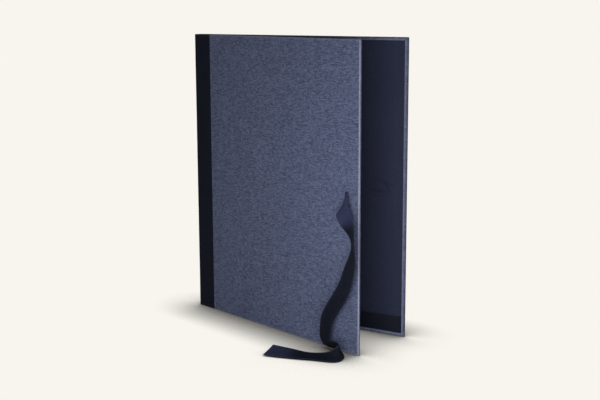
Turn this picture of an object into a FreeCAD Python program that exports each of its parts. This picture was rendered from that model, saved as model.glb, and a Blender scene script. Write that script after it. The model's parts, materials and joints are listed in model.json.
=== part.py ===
import FreeCAD, Part
import math
import os
import re

import Sketcher

# A quarter-bound folder for sheet music, standing a little open on its bottom edges.
# Two cloth-covered boards are joined by a spine of black bookcloth. The blue canvas of each cover is
# turned in over the board, mitred at its two corners and hidden inside by a dark blue lining. A tie
# ribbon passes through a slit in each board and is glued down in a shallow recess under the lining.
# Along the bottom of the back cover a low cloth pocket keeps the sheets from sliding out.
#
# Every flat piece is laid out on a panel: x runs from the hinge line towards the fore-edge, y is the
# outward side (reversed on the front cover) and z is up. The hinge line lies inside the corner that
# the spine makes with the cover, so the outer faces run on without a step, closed or laid flat.
# Lengths are millimetres and angles are degrees.

SIZES = {
    "cover_height": (320.0, "height of the covers and the spine"),
    "cover_width": (265.0, "width of the closed folder, spine to fore-edge"),
    "spine_width": (12.0, "outer width of the spine"),
    "half_open": (8.0, "angle of each cover from closed, as it stands"),
    "board": (2.0, "thickness of the greyboard"),
    "cloth": (0.4, "thickness of the canvas and the bookcloth"),
    "lining": (0.25, "thickness of the lining and of the inner hinge cloth"),
    "corner": (1.2, "distance of the hinge line from the outer faces"),
    "joint_gap": (5.5, "hinge line to the edge of the cover board"),
    "spine_cloth_lap": (21.3, "black cloth on the cover board, as it shows"),
    "strip_lap": (15.0, "inner hinge cloth on the cover board"),
    "joint_sink": (0.9, "depth to which the inner hinge cloth is pressed in"),
    "turn_in": (15.0, "cloth turned in over the edges of the board"),
    "lining_inset": (3.5, "margin of turned-in cloth round the lining"),
    "mitre_gap": (0.3, "gap between the turn-ins at a mitred corner"),
    "slit_inset": (17.8, "fore-edge to the middle of the ribbon's slit"),
    "slit_height": (160.0, "bottom edge to the middle of the ribbon's slit"),
    "slit_room": (1.0, "length of the slit beyond the ribbon's width"),
    "slit_width": (1.0, "width of the slit"),
    "ribbon_width": (16.0, "width of the tie ribbon"),
    "ribbon_thick": (0.5, "thickness of the tie ribbon"),
    "ribbon_glued": (30.0, "ribbon glued down inside the board"),
    "recess": (0.2, "depth of the recess for the glued ribbon"),
    "recess_room": (0.3, "room in the recess round the glued end"),
    "pocket_base": (4.0, "bottom edge to the foot of the pocket"),
    "pocket_rise": (18.0, "height of the pocket's cloth"),
    "pocket_foot": (3.0, "glued foot of the pocket"),
    "pocket_slope": (4.0, "height over which the pocket leans out"),
    "pocket_room": (1.4, "room for paper behind the pocket's hem"),
    "pocket_hem": (5.0, "depth of the pocket's folded hem"),
    "pocket_end": (12.0, "length over which each end closes"),
}

# Levels across a cover, outwards from the hinge line.
OUTSIDE = "corner"
BOARD_OUT = "corner - cloth"
BOARD_IN = "corner - cloth - board"
TURN_IN = "corner - 2 * cloth - board"
INSIDE = "corner - 2 * cloth - board - lining"

# Places along a cover, from the hinge line.
FORE_EDGE = "cover_width - corner"
CLOTH_JOIN = "joint_gap + spine_cloth_lap"
STRIP_EDGE = "joint_gap + strip_lap"
LINING_EDGE = "cover_width - corner - lining_inset"
TURN_EDGE = "cover_width - corner - turn_in"
SLIT = "cover_width - corner - slit_inset"
SPINE_EDGE = "spine_width / 2 - corner"

FULL_HEIGHT = ("0", "cover_height")
BOARD_HEIGHT = ("cloth", "cover_height - cloth")
OPEN_HEIGHT = ("turn_in", "cover_height - turn_in")
LINING_HEIGHT = ("lining_inset", "cover_height - lining_inset")
SLIT_HEIGHT = (
    "slit_height - (ribbon_width + slit_room) / 2",
    "slit_height + (ribbon_width + slit_room) / 2",
)

# Half the folder's reach along x, which puts the origin at the middle of its base.
HALF_REACH = (
    "(corner + (cover_width - corner) * cos(half_open * 1 deg)"
    " + (board + 2 * cloth - corner) * sin(half_open * 1 deg)) / 2"
)

# The free ribbon, in the front cover's panel: where its middle line lies, as the distance along from
# the slit, outwards from the hinge line and up from the floor, then the direction from its left edge
# to its right edge. It leaves the slit, folds over on a slant, hangs with one slow twist, turns back
# on itself at the floor and ends in a cut tail.
RIBBON_ROUTE = [
    ((0.2, 3.5, 159.8), (0.00, 0.00, 1.00)),
    ((0.8, 6.5, 158.0), (0.22, -0.10, 0.97)),
    ((1.5, 9.5, 154.5), (0.50, -0.35, 0.79)),
    ((4.5, 11.5, 149.5), (0.62, -0.40, 0.67)),
    ((9.0, 12.5, 143.5), (0.80, -0.35, 0.48)),
    ((14.0, 12.8, 135.5), (0.95, 0.00, 0.28)),
    ((18.5, 12.5, 126.5), (0.88, 0.45, 0.15)),
    ((20.5, 12.5, 116.5), (0.76, 0.64, 0.05)),
    ((19.5, 12.5, 105.0), (0.93, 0.35, 0.00)),
    ((15.5, 12.5, 92.0), (0.99, 0.10, 0.00)),
    ((11.5, 13.0, 77.5), (0.98, -0.10, -0.10)),
    ((4.0, 13.5, 62.5), (0.92, -0.25, -0.28)),
    ((-8.0, 13.0, 47.5), (0.86, -0.25, -0.42)),
    ((-17.0, 12.5, 33.5), (0.93, -0.15, -0.30)),
    ((-20.5, 10.5, 20.5), (0.98, -0.10, -0.05)),
    ((-21.5, 9.5, 10.5), (0.98, 0.00, 0.10)),
    ((-17.0, 11.0, 5.4), (0.80, -0.55, 0.25)),
    ((-7.5, 12.5, 5.8), (0.30, -0.80, 0.50)),
    ((2.5, 14.0, 7.6), (-0.10, -0.50, 0.86)),
    ((11.5, 16.5, 8.6), (-0.25, -0.10, 0.95)),
    ((18.0, 23.0, 8.8), (-0.25, -0.05, 0.96)),
    ((15.0, 30.5, 8.0), (-0.40, -0.35, 0.85)),
    ((4.5, 34.5, 4.4), (-0.50, -0.80, 0.35)),
    ((-8.0, 39.5, 1.7), (-0.57, -0.82, 0.06)),
    ((-22.0, 48.5, 2.6), (-0.55, -0.80, 0.18)),
    ((-37.0, 58.0, 4.4), (-0.53, -0.74, 0.42)),
    ((-49.5, 64.5, 4.8), (-0.53, -0.72, 0.46)),
]
RIBBON_STEPS = 3  # sections of the ribbon from one point of its route to the next
RIBBON_SLANT = 0.7  # most that a section leans along the ribbon, at the slanting fold
TAIL_CUT = 8.0  # how far the tail's left edge reaches past its right edge

doc = FreeCAD.newDocument("MusicFolder")
sheet = doc.addObject("Spreadsheet::Sheet", "Sizes")
for row, (alias, (number, meaning)) in enumerate(SIZES.items(), start=1):
    sheet.set(f"A{row}", meaning)
    sheet.set(f"B{row}", str(number))
    sheet.setAlias(f"B{row}", alias)
doc.recompute()


def bound(text):
    """The text as an expression, with each size's name pointing at its cell."""
    return re.sub(r"[a-z_]+", lambda m: f"Sizes.{m[0]}" if m[0] in SIZES else m[0], text)


def value(text):
    """The number that a text of sizes comes to."""
    total = sheet.evalExpression(bound(text))
    return float(getattr(total, "Value", total))


def bind(thing, prop, text):
    thing.setExpression(prop, bound(text))


class Panel:
    """The front cover, the spine or the back cover: its place, and which way its outside faces."""

    def __init__(self, name, side, across, angle):
        self.name = name
        self.side = side
        self.across = across
        self.angle = angle

    def levels(self, low, high):
        """The two outward levels as y of this panel, lower first."""
        return (low, high) if self.side > 0 else (f"-({high})", f"-({low})")

    def place(self, thing, label):
        thing.Label = label
        turn = FreeCAD.Rotation(FreeCAD.Vector(0, 0, 1), value(self.angle))
        thing.Placement = FreeCAD.Placement(FreeCAD.Vector(0, 0, 0), turn)
        bind(thing, "Placement.Base.x", f"corner - {HALF_REACH}")
        bind(thing, "Placement.Base.y", self.across)
        bind(thing, "Placement.Rotation.Angle", self.angle)
        return thing


FRONT = Panel("front", -1, "-(spine_width / 2 - corner)", "-half_open")
BACK = Panel("back", 1, "spine_width / 2 - corner", "half_open")
SPINE = Panel("spine", 1, "0", "90")
parts = []


def keep(panel, thing, label):
    """Puts a finished piece in its place on the folder."""
    parts.append(panel.place(thing, label))
    return thing


def box(name, panel, along, levels, height):
    """A block between two places along the panel, two outward levels and two heights."""
    low, high = panel.levels(*levels)
    block = doc.addObject("Part::Box", name)
    for prop, start, end in (
        ("Length", along[0], along[1]),
        ("Width", low, high),
        ("Height", height[0], height[1]),
    ):
        bind(block, prop, f"({end}) - ({start})")
    for axis, start in zip("xyz", (along[0], low, height[0])):
        bind(block, f"Placement.Base.{axis}", start)
    return block


def joined(name, *pieces):
    union = doc.addObject("Part::MultiFuse", name)
    union.Shapes = list(pieces)
    return union


def cut(name, base, *tools):
    difference = doc.addObject("Part::Cut", name)
    difference.Base = base
    difference.Tool = tools[0] if len(tools) == 1 else joined(f"{name}_tools", *tools)
    return difference


def rectangle(body, name, plane, corner, width, height):
    """A sketch of one rectangle on an origin plane of the body, both its sizes bound to the sheet."""
    sketch = body.newObject("Sketcher::SketchObject", name)
    origin = next(f for f in body.Origin.OriginFeatures if f.Role == plane)
    sketch.AttachmentSupport = [(origin, "")]
    sketch.MapMode = "FlatFace"
    for axis, text in zip("xyz", corner):
        bind(sketch, f"AttachmentOffset.Base.{axis}", text)
    wide, high = value(width), value(height)
    ends = [(0, 0), (wide, 0), (wide, high), (0, high)]
    for i, (x, y) in enumerate(ends):
        following = ends[(i + 1) % len(ends)]
        line = Part.LineSegment(FreeCAD.Vector(x, y, 0), FreeCAD.Vector(*following, 0))
        sketch.addGeometry(line, False)
    for i in range(len(ends)):
        sketch.addConstraint(Sketcher.Constraint("Coincident", i, 2, (i + 1) % len(ends), 1))
    for kind, line in (("Horizontal", 0), ("Horizontal", 2), ("Vertical", 1), ("Vertical", 3)):
        sketch.addConstraint(Sketcher.Constraint(kind, line))
    sketch.addConstraint(Sketcher.Constraint("Coincident", 0, 1, -1, 1))
    for kind, line, size in (("DistanceX", 0, width), ("DistanceY", 1, height)):
        first, last = 1, 2
        number = value(size)
        index = sketch.addConstraint(Sketcher.Constraint(kind, line, first, line, last, number))
        bind(sketch, f"Constraints[{index}]", size)
    return sketch


def greyboard(panel, label, along):
    """A rectangle of greyboard, padded upwards from the cloth under its bottom edge."""
    low, high = panel.levels(BOARD_IN, BOARD_OUT)
    body = doc.addObject("PartDesign::Body", f"{panel.name}_board_body")
    outline = rectangle(
        body,
        f"{panel.name}_board_outline",
        "XY_Plane",
        (along[0], low, BOARD_HEIGHT[0]),
        f"({along[1]}) - ({along[0]})",
        f"({high}) - ({low})",
    )
    pad = body.newObject("PartDesign::Pad", f"{panel.name}_board_pad")
    pad.Profile = outline
    bind(pad, "Length", f"({BOARD_HEIGHT[1]}) - ({BOARD_HEIGHT[0]})")
    outline.Visibility = False
    return keep(panel, body, label)


def pocket_through(body, name, panel, along, levels, height):
    """A pocket across a board, from the higher of two levels down to the lower one."""
    low, high = panel.levels(*levels)
    outline = rectangle(
        body,
        f"{name}_outline",
        "XZ_Plane",
        (along[0], height[0], f"-({low})"),
        f"({along[1]}) - ({along[0]})",
        f"({height[1]}) - ({height[0]})",
    )
    pocket = body.newObject("PartDesign::Pocket", name)
    pocket.Profile = outline
    bind(pocket, "Length", f"({high}) - ({low})")
    outline.Visibility = False
    return pocket


def cover_board(panel):
    """The board of a cover, with the ribbon's slit and the recess for its glued end."""
    body = greyboard(panel, f"{panel.name}_board", ("joint_gap", f"{FORE_EDGE} - cloth"))
    doc.recompute()
    whole = body.Shape.Volume
    slit = (f"{SLIT} - slit_width / 2", f"{SLIT} + slit_width / 2")
    pocket_through(body, f"{panel.name}_slit", panel, slit, (BOARD_IN, BOARD_OUT), SLIT_HEIGHT)
    doc.recompute()
    through = body.Shape.Volume
    glued = (f"{SLIT} - ribbon_glued - recess_room", slit[0])
    floor = (BOARD_IN, f"{BOARD_IN} + recess")
    pocket_through(body, f"{panel.name}_recess", panel, glued, floor, SLIT_HEIGHT)
    doc.recompute()
    print(f"{panel.name} board: slit takes {whole - through:.2f} mm3,",
          f"recess {through - body.Shape.Volume:.2f} mm3")


def turned_in(panel, name, along, to_fore_edge):
    """Cloth over the outside of a board, turned in over its head and tail, and over its fore-edge too."""
    end = along[1]
    skin = box(f"{name}_skin", panel, along, (TURN_IN, OUTSIDE), FULL_HEIGHT)
    board_end = f"{end} - cloth" if to_fore_edge else end
    window_end = f"{end} - turn_in" if to_fore_edge else end
    board = box(f"{name}_core", panel, (along[0], board_end), (BOARD_IN, BOARD_OUT), BOARD_HEIGHT)
    window = box(f"{name}_window", panel, (along[0], window_end), (TURN_IN, BOARD_IN), OPEN_HEIGHT)
    return skin, board, window


def spine_cloth():
    """The black bookcloth on the spine board."""
    along = (f"-({SPINE_EDGE})", SPINE_EDGE)
    pieces = turned_in(SPINE, "spine_cloth", along, False)
    keep(SPINE, cut("spine_cloth_cut", *pieces), "spine_cloth")


def cover_spine_cloth(panel):
    """The black bookcloth that runs on from the spine over the edge of a cover board."""
    name = f"{panel.name}_spine_cloth"
    pieces = turned_in(panel, name, ("joint_gap", CLOTH_JOIN), False)
    keep(panel, cut(f"{name}_cut", *pieces), name)


def mitre(panel, name, top):
    """The narrow gap between two turn-ins, at 45 degrees from a corner of the cover inwards."""
    low, high = panel.levels(TURN_IN, BOARD_IN)
    slot = doc.addObject("Part::Box", name)
    bind(slot, "Length", "2 * turn_in")
    bind(slot, "Width", f"({high}) - ({low})")
    bind(slot, "Height", "mitre_gap")
    slant = 45 if not top else -45
    back = FreeCAD.Vector(-1, 0, 0)
    turn = FreeCAD.Rotation(FreeCAD.Vector(0, 1, 0), 180 + slant)
    slot.Placement = FreeCAD.Placement(back, turn)
    bind(slot, "Placement.Base.x", FORE_EDGE)
    bind(slot, "Placement.Base.y", low)
    bind(slot, "Placement.Base.z", "cover_height" if top else "0")
    return slot


def cover_canvas(panel):
    """The blue canvas of a cover: turned in on three sides, mitred, and slit for the ribbon."""
    name = f"{panel.name}_canvas"
    skin, board, window = turned_in(panel, name, (CLOTH_JOIN, FORE_EDGE), True)
    slit_along = (f"{SLIT} - slit_width / 2", f"{SLIT} + slit_width / 2")
    slit = box(f"{name}_slit", panel, slit_along, (BOARD_OUT, OUTSIDE), SLIT_HEIGHT)
    corners = [mitre(panel, f"{name}_mitre_{i}", bool(i)) for i in range(2)]
    keep(panel, cut(f"{name}_cut", skin, board, window, slit, *corners), name)


def inner_sheet(panel, name, along, pad_along, *hollows):
    """A sheet glued over the turn-ins: it sinks to the board between them."""
    face = box(f"{name}_face", panel, along, (INSIDE, TURN_IN), LINING_HEIGHT)
    pad = box(f"{name}_pad", panel, pad_along, (TURN_IN, BOARD_IN), OPEN_HEIGHT)
    whole = joined(f"{name}_joined", face, pad)
    keep(panel, cut(f"{name}_cut", whole, *hollows) if hollows else whole, name)


def cover_lining(panel):
    """The dark blue lining, hollowed where it goes over the glued end of the ribbon."""
    name = f"{panel.name}_lining"
    along = (f"{SLIT} - ribbon_glued - recess_room", f"{SLIT} + slit_width / 2")
    levels = (f"{BOARD_IN} + recess - ribbon_thick", BOARD_IN)
    hollow = box(f"{name}_hollow", panel, along, levels, SLIT_HEIGHT)
    inner_sheet(panel, name, (STRIP_EDGE, LINING_EDGE), (STRIP_EDGE, TURN_EDGE), hollow)


def ribbon_root(panel):
    """The end of the tie ribbon that is glued down, and its stretch through the slit."""
    name = f"{panel.name}_ribbon_root"
    height = ("slit_height - ribbon_width / 2", "slit_height + ribbon_width / 2")
    low = f"{BOARD_IN} + recess - ribbon_thick"
    outer_side = f"{SLIT} + ribbon_thick / 2"
    glued_along = (f"{SLIT} - ribbon_glued", outer_side)
    glued = box(f"{name}_glued", panel, glued_along, (low, f"{BOARD_IN} + recess"), height)
    web_along = (f"{SLIT} - ribbon_thick / 2", outer_side)
    web = box(f"{name}_web", panel, web_along, (low, OUTSIDE), height)
    keep(panel, joined(f"{name}_joined", glued, web), name)


def outer_joint(panel):
    """The bookcloth that bends round the corner between the spine and a cover."""
    name = f"{panel.name}_outer_joint"
    rounds = []
    for i, radius in enumerate(("corner", "corner - cloth")):
        arc = doc.addObject("Part::Cylinder", f"{name}_round_{i}")
        start = "90" if panel.side > 0 else "half_open - 180"
        turn = FreeCAD.Rotation(FreeCAD.Vector(0, 0, 1), value(start))
        arc.Placement = FreeCAD.Placement(FreeCAD.Vector(0, 0, 0), turn)
        bind(arc, "Placement.Rotation.Angle", start)
        bind(arc, "Radius", radius)
        bind(arc, "Height", "cover_height")
        bind(arc, "Angle", "90 - half_open")
        rounds.append(arc)
    bend = cut(f"{name}_bend", *rounds)
    flat = box(f"{name}_flat", panel, ("0", "joint_gap"), (BOARD_OUT, OUTSIDE), FULL_HEIGHT)
    keep(panel, joined(f"{name}_joined", bend, flat), name)


def inner_joint(panel):
    """The inner hinge cloth between the spine and a cover, pressed a little into the joint."""
    name = f"{panel.name}_inner_joint"
    turn = math.radians(value("half_open"))
    inside, lined = value(INSIDE), value(TURN_IN)
    gap, sink = value("joint_gap"), value("joint_sink")
    low, high = value(LINING_HEIGHT[0]), value(LINING_HEIGHT[1])

    def on_spine(level):
        """A point of the spine's side face at an outward level, in this cover's own directions."""
        return (-level * math.cos(turn), level * math.sin(turn))

    def arc(start, end):
        middle = ((start[0] + end[0]) / 2, (start[1] + end[1]) / 2 + sink)
        points = [FreeCAD.Vector(x, panel.side * y, low) for x, y in (start, middle, end)]
        return Part.Arc(*points).toShape()

    outer = arc(on_spine(lined), (gap, lined))
    inner = arc((gap, inside), on_spine(inside))
    ends = [outer.Vertexes[1].Point, inner.Vertexes[0].Point]
    starts = [inner.Vertexes[1].Point, outer.Vertexes[0].Point]
    wire = Part.Wire([outer, Part.makeLine(*ends), inner, Part.makeLine(*starts)])
    strip = doc.addObject("Part::Feature", name)
    strip.Shape = Part.Face(wire).extrude(FreeCAD.Vector(0, 0, high - low))
    keep(panel, strip, name)


def bottom_pocket(panel):
    """The low pocket: a strip of black cloth glued along its foot, hemmed along its top, closed at its ends."""
    base, rise = value("pocket_base"), value("pocket_rise")
    foot, slope = value("pocket_foot"), value("pocket_slope")
    room, hem = value("pocket_room"), value("pocket_hem")
    cloth, wall = value("cloth"), value(INSIDE)
    top, knee, lean = base + rise, base + foot, base + foot + slope
    fold = top - hem
    out = room + cloth

    def section(along, stand):
        """The cloth's outline at a place along the cover, standing off the lining by a share of its room."""
        away = stand * out
        hemmed = max(away, cloth)
        front = [(base, 0), (knee, 0), (lean, away), (fold, away)]
        front += [(fold + cloth, hemmed), (top, hemmed)]
        back = [(top, hemmed - cloth), (fold + cloth / 2, hemmed - cloth)]
        back += [(fold, away), (lean, away), (knee, 0), (base, 0)]
        outline = [(z, wall - off - cloth) for z, off in front]
        outline += [(z, wall - off) for z, off in back]
        corners = [FreeCAD.Vector(along, panel.side * y, z) for z, y in outline]
        return Part.makePolygon(corners + corners[:1])

    start, end = value(STRIP_EDGE), value(LINING_EDGE)
    closing = value("pocket_end")
    places = ((start, 0), (start + closing, 1), (end - closing, 1), (end, 0))
    strip = doc.addObject("Part::Feature", "bottom_pocket_strip")
    strip.Shape = Part.makeLoft([section(*place) for place in places], True, True)
    keep(panel, strip, "bottom_pocket")


def smooth(points):
    """A curve drawn smoothly along the points, which starts and ends on the first and last."""
    curve = Part.BSplineCurve()
    knots = list(range(len(points) - 1))
    times = [3] + [1] * (len(knots) - 2) + [3]
    curve.buildFromPolesMultsKnots(points, times, knots, False, 2)
    return curve


def free_ribbon(panel):
    """The ribbon outside the slit: a ruled strip through level sections of its width and thickness."""
    slit = value(SLIT)
    mouth = FreeCAD.Vector(slit, value(OUTSIDE), value("slit_height"))
    upright = FreeCAD.Vector(0, 0, 1)
    route = [mouth] + [FreeCAD.Vector(slit + x, y, z) for (x, y, z), _ in RIBBON_ROUTE]
    sides = [upright] + [FreeCAD.Vector(*side).normalize() for _, side in RIBBON_ROUTE]
    route, sides = ([FreeCAD.Vector(v.x, panel.side * v.y, v.z) for v in vs] for vs in (route, sides))
    middle, lean = smooth(route), smooth(sides)
    width, thick = value("ribbon_width"), value("ribbon_thick")
    last = (len(route) - 2) * RIBBON_STEPS
    sections = []
    length = 0.0
    tightest = math.inf
    for i in range(last + 1):
        at = i / RIBBON_STEPS
        centre = middle.value(at)
        along = FreeCAD.Vector(*middle.tangent(at)[0]) if i else FreeCAD.Vector(0, panel.side, 0)
        side = lean.value(at).normalize()
        slant = max(-RIBBON_SLANT, min(RIBBON_SLANT, side.dot(along)))
        half = side * (width / 2 / math.sqrt(1 - slant**2))
        if i == last:
            half = half - along * (TAIL_CUT / 2)
        through = along.cross(side).normalize() * (thick / 2)
        corners = [centre - half - through, centre + half - through]
        corners += [centre + half + through, centre - half + through]
        sections.append(Part.makePolygon(corners + corners[:1]))
        if 0 < i < last:
            tightest = min(tightest, 1 / max(middle.curvature(at), 1e-9))
        if i:
            length += (centre - before).Length
        before = centre
    ribbon = doc.addObject("Part::Feature", "front_ribbon_strip")
    ribbon.Shape = Part.makeLoft(sections, True, True)
    lowest = ribbon.Shape.BoundBox.ZMin
    print(f"ribbon: {length:.1f} mm long, tightest bend {tightest:.1f} mm, lowest {lowest:.2f} mm,",
          f"volume {ribbon.Shape.Volume:.0f} mm3 for {length * width * thick:.0f}")
    keep(panel, ribbon, "front_ribbon")


def spine_pieces():
    across = (f"-({SPINE_EDGE})", SPINE_EDGE)
    greyboard(SPINE, "spine_board", across)
    spine_cloth()
    inner_sheet(SPINE, "spine_lining", across, across)


def cover_pieces(panel):
    cover_board(panel)
    cover_spine_cloth(panel)
    cover_canvas(panel)
    outer_joint(panel)
    inner_joint(panel)
    strip_along = ("joint_gap", STRIP_EDGE)
    inner_sheet(panel, f"{panel.name}_hinge_strip", strip_along, strip_along)
    cover_lining(panel)
    ribbon_root(panel)


spine_pieces()
cover_pieces(FRONT)
cover_pieces(BACK)
free_ribbon(FRONT)
bottom_pocket(BACK)
doc.recompute()

for thing in doc.Objects:
    if {"Invalid", "Error"} & set(thing.State):
        raise RuntimeError(f"{thing.Name} failed: {thing.State}")
for part in parts:
    if part.Shape.isNull() or not part.Shape.isValid() or not part.Shape.Solids:
        raise RuntimeError(f"{part.Label} has no valid solid")

os.makedirs("parts", exist_ok=True)
for part in parts:
    part.Shape.exportStep(f"parts/{part.Label}.step")
    spread = part.Shape.BoundBox
    print(f"{part.Label}: {len(part.Shape.Solids)} solid, {part.Shape.Volume:.0f} mm3,",
          f"x {spread.XMin:.2f} to {spread.XMax:.2f}, y {spread.YMin:.2f} to {spread.YMax:.2f},",
          f"z {spread.ZMin:.2f} to {spread.ZMax:.2f}")
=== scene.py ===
# %% [markdown]
# # A cloth-bound music folder
# The folder stands on its bottom edges with its covers a little open. Its stiff boards come from the
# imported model, and what shows is cloth: blue canvas, black bookcloth, dark blue lining and a ribbon.
# This lesson makes each cloth as a surface worked out with numpy, wraps it round the boards and gives
# it a woven finish from shader nodes.

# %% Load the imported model
import json
import math

import bmesh
import bpy
import numpy as np
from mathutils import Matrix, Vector

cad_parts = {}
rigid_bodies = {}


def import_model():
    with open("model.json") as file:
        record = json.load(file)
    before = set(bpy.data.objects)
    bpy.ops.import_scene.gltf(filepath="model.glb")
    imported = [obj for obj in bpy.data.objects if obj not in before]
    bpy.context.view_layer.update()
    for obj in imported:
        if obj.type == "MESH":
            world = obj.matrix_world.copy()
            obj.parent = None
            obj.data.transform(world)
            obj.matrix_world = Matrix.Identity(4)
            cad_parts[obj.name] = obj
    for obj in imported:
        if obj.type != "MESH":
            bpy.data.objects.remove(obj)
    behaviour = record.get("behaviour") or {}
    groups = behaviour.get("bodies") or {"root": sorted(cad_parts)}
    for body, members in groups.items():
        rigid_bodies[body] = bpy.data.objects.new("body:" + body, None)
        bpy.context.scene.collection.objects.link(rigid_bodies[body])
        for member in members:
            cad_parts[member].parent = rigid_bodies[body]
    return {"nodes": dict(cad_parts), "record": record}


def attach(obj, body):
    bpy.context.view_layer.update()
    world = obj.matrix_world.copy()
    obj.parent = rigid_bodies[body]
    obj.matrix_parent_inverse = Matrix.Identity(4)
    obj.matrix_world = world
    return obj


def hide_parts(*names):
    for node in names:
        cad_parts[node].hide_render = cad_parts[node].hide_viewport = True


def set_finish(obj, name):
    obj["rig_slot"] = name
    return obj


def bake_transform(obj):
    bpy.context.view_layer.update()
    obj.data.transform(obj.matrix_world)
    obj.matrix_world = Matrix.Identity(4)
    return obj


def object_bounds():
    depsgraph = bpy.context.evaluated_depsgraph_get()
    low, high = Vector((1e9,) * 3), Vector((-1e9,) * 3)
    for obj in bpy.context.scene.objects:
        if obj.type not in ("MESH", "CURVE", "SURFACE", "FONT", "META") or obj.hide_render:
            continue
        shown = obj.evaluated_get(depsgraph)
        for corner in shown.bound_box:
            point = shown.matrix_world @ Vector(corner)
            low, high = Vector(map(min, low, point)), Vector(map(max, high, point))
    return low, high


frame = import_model()
cad_box = [list(corner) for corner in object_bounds()]

# %% [markdown]
# ## Where things are on a cover
# A bookbinder measures a cover from its hinge, so this script does too. A place on a cover is
# `along` from the hinge line, `out` from it through the board, and `up` from the table, in
# millimetres. One function turns those into metres in the model's own frame.

# %% A ruler for each cover
COVER_HEIGHT = 320.0
HALF_SPINE = 6.0
HALF_OPEN = math.radians(8.0)
CORNER = 1.2  # the hinge line lies this far inside the spine's and the covers' outer faces
OUTSIDE, TURNED_IN, INSIDE = 1.2, -1.6, -1.85  # outer face, turned-in cloth, lining
CLOTH_JOIN, STRIP_EDGE, LINING_EDGE, FORE_EDGE = 26.8, 20.5, 260.3, 263.8
SLIT_ALONG, SLIT_UP = 246.0, 160.0
SPINE_FACE = cad_box[0][0] * 1000  # x of the spine's outer face
FRONT, BACK = -1, 1
WORD = {FRONT: "front", BACK: "back"}


def from_spine(side, x, y, up):
    """Metres in the model's frame of a place measured from the middle of the spine's outer face."""
    x, y, up = np.broadcast_arrays(*(np.asarray(a, float) for a in (x, y, up)))
    return np.stack([SPINE_FACE + x, side * y, up], -1) / 1000


def on_cover(side, along, out, up):
    """Metres in the model's frame of a place on the front (-1) or back (+1) cover."""
    c, s = math.cos(HALF_OPEN), math.sin(HALF_OPEN)
    along, out = np.asarray(along, float), np.asarray(out, float)
    x = CORNER + along * c - out * s
    return from_spine(side, x, HALF_SPINE - CORNER + along * s + out * c, up)


def outwards(side):
    """The direction in which the outer face of a cover looks."""
    return (on_cover(side, 0, 1, 0) - on_cover(side, 0, 0, 0)) * 1000


print("cover corner, m:", on_cover(FRONT, FORE_EDGE, OUTSIDE, COVER_HEIGHT).round(4))

# %% [markdown]
# ## The camera first
# The picture was taken from the front and a little above, from rather far away, so the folder's
# upright edges stay nearly parallel. The camera is set from its place and its three angles. It comes
# first, because every later choice is judged through it.


# %% The camera
def aim_camera(place, azimuth, down, roll, lens):
    """A camera that looks towards azimuth (0 is along +Y), tipped down and rolled, all in degrees."""
    a, p, r = np.radians([azimuth, down, roll])
    ahead = np.array([-math.sin(a), math.cos(a), 0])
    level = np.array([math.cos(a), math.sin(a), 0])
    look = ahead * math.cos(p) - np.array([0, 0, math.sin(p)])
    rise = ahead * math.sin(p) + np.array([0, 0, math.cos(p)])
    matrix = np.eye(4)
    matrix[:3, 0] = level * math.cos(r) + rise * math.sin(r)
    matrix[:3, 1] = rise * math.cos(r) - level * math.sin(r)
    matrix[:3, 2], matrix[:3, 3] = -look, place
    data = bpy.data.cameras.new("Photo camera")
    data.lens, data.sensor_width = lens, 36
    data.clip_start, data.clip_end = 0.05, 30
    camera = bpy.data.objects.new("Photo camera", data)
    bpy.context.scene.collection.objects.link(camera)
    camera.matrix_world = matrix.T.tolist()
    bpy.context.scene.camera = camera


camera_place = np.array([SPINE_FACE + 892.167, -898.002, 356.745]) / 1000
aim_camera(camera_place, 39.543, 10.39, -0.198, 65.1)
print("camera at", camera_place.round(3))

# %% [markdown]
# ## Surfaces from numpy
# Cloth is a sheet, so each piece starts as a grid of points, worked out as whole arrays. The helper
# puts the grid into a mesh with a UV map in metres, so that a weave has its true size and follows
# the cloth round every edge. Solidify then gives the sheet its thickness, and it is applied at once.


# %% Helpers that make a cloth from grids
def grid_faces(shape, first=0):
    """The quads of a grid with that many rows and columns, each as four point numbers."""
    rows, columns = shape[:2]
    corner = first + np.arange(rows - 1)[:, None] * columns + np.arange(columns - 1)
    quads = np.stack([corner, corner + columns, corner + columns + 1, corner + 1], -1)
    return quads.reshape(-1, 4)


def cloth_mesh(name, points, faces, flat, outward, wear_and_painted_light=None):
    """A mesh from points, quads and each point's place on the flat cloth in mm, facing outward."""
    mesh = bpy.data.meshes.new(name)
    mesh.vertices.add(len(points))
    mesh.vertices.foreach_set("co", np.asarray(points, np.float32).ravel())
    mesh.loops.add(faces.size)
    mesh.loops.foreach_set("vertex_index", faces.ravel().astype(np.int32))
    mesh.polygons.add(len(faces))
    mesh.polygons.foreach_set("loop_start", np.arange(0, faces.size, 4, dtype=np.int32))
    layer = mesh.uv_layers.new(name="Cloth")
    layer.uv.foreach_set("vector", (flat[faces.ravel()] / 1000).astype(np.float32).ravel())
    edge = mesh.attributes.new("edge", "FLOAT", "POINT")
    edge.data.foreach_set("value", np.zeros(len(points)) if wear_and_painted_light is None else wear_and_painted_light.ravel())
    mesh.update(calc_edges=True)
    work = bmesh.new()
    work.from_mesh(mesh)
    bmesh.ops.remove_doubles(work, verts=work.verts, dist=5e-5)
    facing = sum((face.normal * face.calc_area() for face in work.faces), Vector())
    work.to_mesh(mesh)
    work.free()
    if np.dot(facing, outward) < 0:
        mesh.flip_normals()
    thing = bpy.data.objects.new(name, mesh)
    bpy.context.scene.collection.objects.link(thing)
    return thing


def one_grid(name, points, flat, outward, wear_and_painted_light=None):
    """A cloth from a single grid of points."""
    faces = grid_faces(points.shape)
    return cloth_mesh(name, points.reshape(-1, 3), faces, flat.reshape(-1, 2), outward, wear_and_painted_light)


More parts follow.
